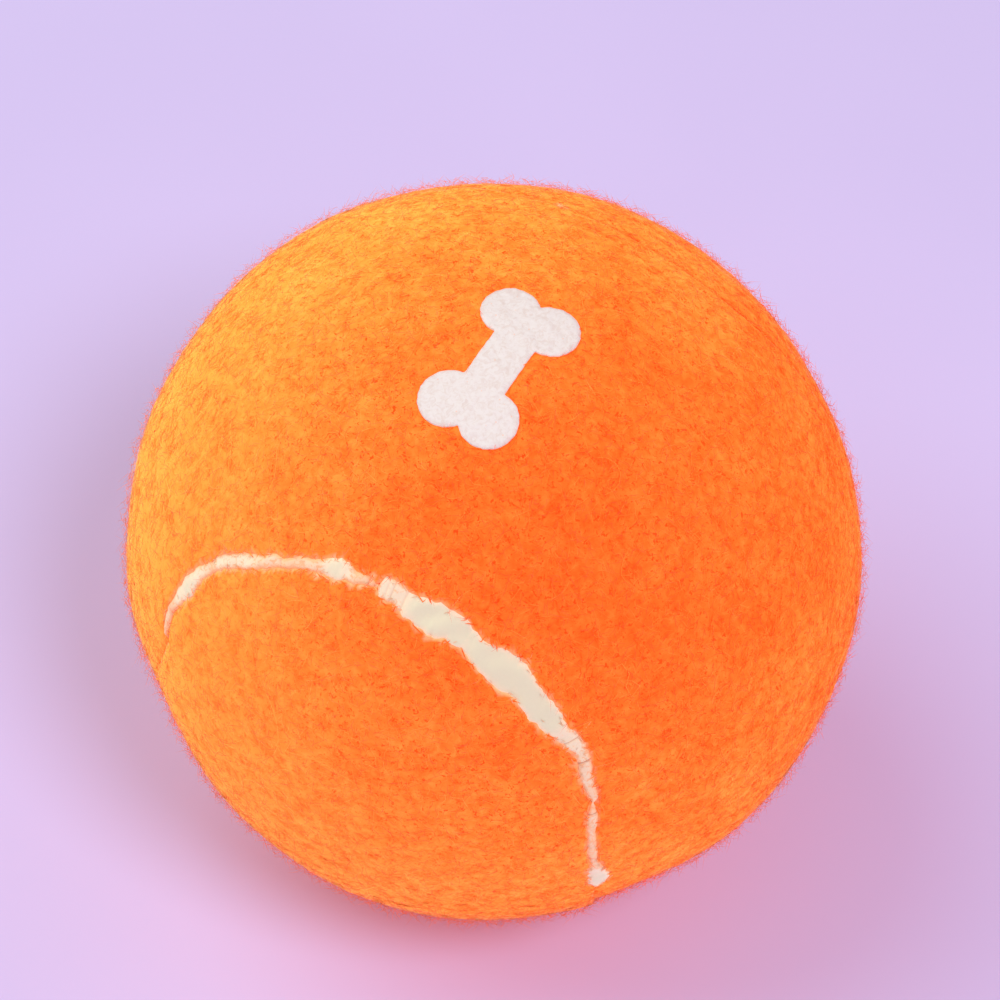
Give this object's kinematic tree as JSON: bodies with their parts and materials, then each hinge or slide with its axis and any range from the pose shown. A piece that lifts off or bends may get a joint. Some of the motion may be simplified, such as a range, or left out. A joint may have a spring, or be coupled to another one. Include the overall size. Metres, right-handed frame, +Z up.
{
  "type": "felt dog ball",
  "caption": "Orange felt-covered hollow rubber ball for dogs, with a cream seam between two wrapped panels and a white printed bone.",
  "frame": {"origin": "on the floor, under the centre of the ball, in the middle of the pressed flat it rests on", "axes": "+Z up from the floor through the ball's centre, -Y towards the side where the seam is widest, +X to the right seen from there"},
  "size_m": [0.0646, 0.0648, 0.0644],
  "materials": {
    "core_rubber": "moulded, matte, charcoal",
    "joint_cement": "cured rubber cement, amber",
    "cover_cement": "rubber coat on the felt's back, tan",
    "orange_felt": "needled wool and nylon felt, raised orange nap",
    "seam_rubber": "cured seam rubber, cream, smooth",
    "print_film": "heat-pressed transfer film, white"
  },
  "bodies": {
    "root": {"core_half_upper": "core_rubber", "core_half_lower": "core_rubber", "core_joint_cement": "joint_cement", "cover_cement_a": "cover_cement", "cover_cement_b": "cover_cement", "felt_panel_a": "orange_felt", "felt_panel_b": "orange_felt", "seam_filler": "seam_rubber", "printed_mark": "print_film"}
  },
  "joints": []
}
